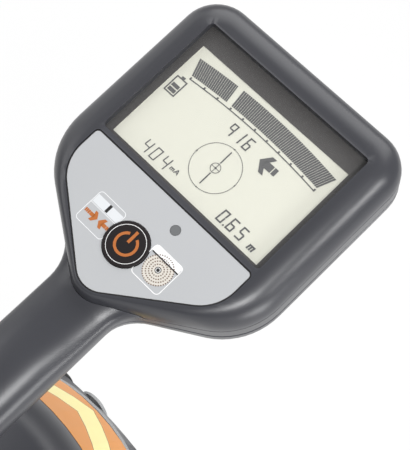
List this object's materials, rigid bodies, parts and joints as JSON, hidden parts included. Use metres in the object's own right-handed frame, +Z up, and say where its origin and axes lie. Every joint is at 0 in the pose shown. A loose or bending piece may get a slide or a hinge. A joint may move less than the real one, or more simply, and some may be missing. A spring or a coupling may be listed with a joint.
{
  "type": "cable locator",
  "caption": "Hand-held cable locator: tilted display head with a keypad on a hooked handle, over a body with a battery bay and an upright antenna blade.",
  "frame": {"origin": "middle of the foot's flat underside", "axes": "+Z up along the antenna blade, +Y away from the user, +X to the right"},
  "size_m": [0.123, 0.281, 0.647],
  "materials": {
    "moulding": "fine satin texture",
    "black_moulding": "satin",
    "seal": "matt",
    "dark_seal": "matt",
    "overlay": "matt printed film",
    "window": "clear gloss",
    "mask": "printed film",
    "lcd": "reflective liquid crystal",
    "backlight": "white diffuser",
    "board": "solder mask",
    "steel": "zinc plated",
    "sensor": "tinted light guide",
    "speaker": "black",
    "cable": "sheathed wires",
    "cell": "printed sleeve",
    "ferrite": "dull",
    "copper": "enamelled copper wire",
    "foot": "tough satin"
  },
  "bodies": {
    "locator": {"head_bezel": "moulding", "head_seal": "dark_seal", "lower_housing": "moulding", "handle_top": "moulding", "handle_screws": "steel", "head_screws": "steel", "display_window": "window", "display_mask": "mask", "lcd_panel": "lcd", "backlight": "backlight", "display_carrier": "black_moulding", "display_board": "board", "board_screws": "steel", "keypad_overlay": "overlay", "key_switch": "steel", "light_sensor": "sensor", "speaker": "speaker", "wiring_loom": "cable", "body_upper": "moulding", "body_seal": "seal", "body_lower": "moulding", "body_screws": "steel", "signal_board": "board", "signal_screws": "steel", "battery_box": "black_moulding", "battery_cells": "cell", "battery_contacts": "steel", "door_pin": "steel", "accessory_socket": "black_moulding", "headphone_socket": "black_moulding", "blade_front": "moulding", "blade_rear": "moulding", "blade_screws": "steel", "blade_foot": "foot", "antenna_spine": "board", "low_ferrite": "ferrite", "low_coil": "copper", "top_ferrite": "ferrite", "top_coil": "copper", "null_ferrite": "ferrite", "null_coil": "copper"},
    "power_key_body": {"power_key": "black_moulding"},
    "battery_door_body": {"battery_door": "moulding", "door_contact": "steel"},
    "accessory_cap_body": {"accessory_cap": "seal"},
    "headphone_cap_body": {"headphone_cap": "dark_seal"}
  },
  "joints": [
    {"name": "power_key_press", "type": "slide", "parent": "locator", "child": "power_key_body", "axis": [0, 0.4226, -0.9063], "range_m": [0, 0.0008], "stiffness_N_per_m": 2000},
    {"name": "battery_door_hinge", "type": "hinge", "parent": "locator", "child": "battery_door_body", "pos_m": [0, -0.17197, 0.426], "axis": [1, 0, 0], "range_deg": [0, 110]},
    {"name": "accessory_cap_hinge", "type": "hinge", "parent": "locator", "child": "accessory_cap_body", "pos_m": [-0.008, 0.02341, 0.38525], "axis": [-1, 0, 0], "range_deg": [0, 120]},
    {"name": "headphone_cap_hinge", "type": "hinge", "parent": "locator", "child": "headphone_cap_body", "pos_m": [-0.031, 0.02255, 0.38965], "axis": [-1, 0, 0], "range_deg": [0, 120]}
  ]
}
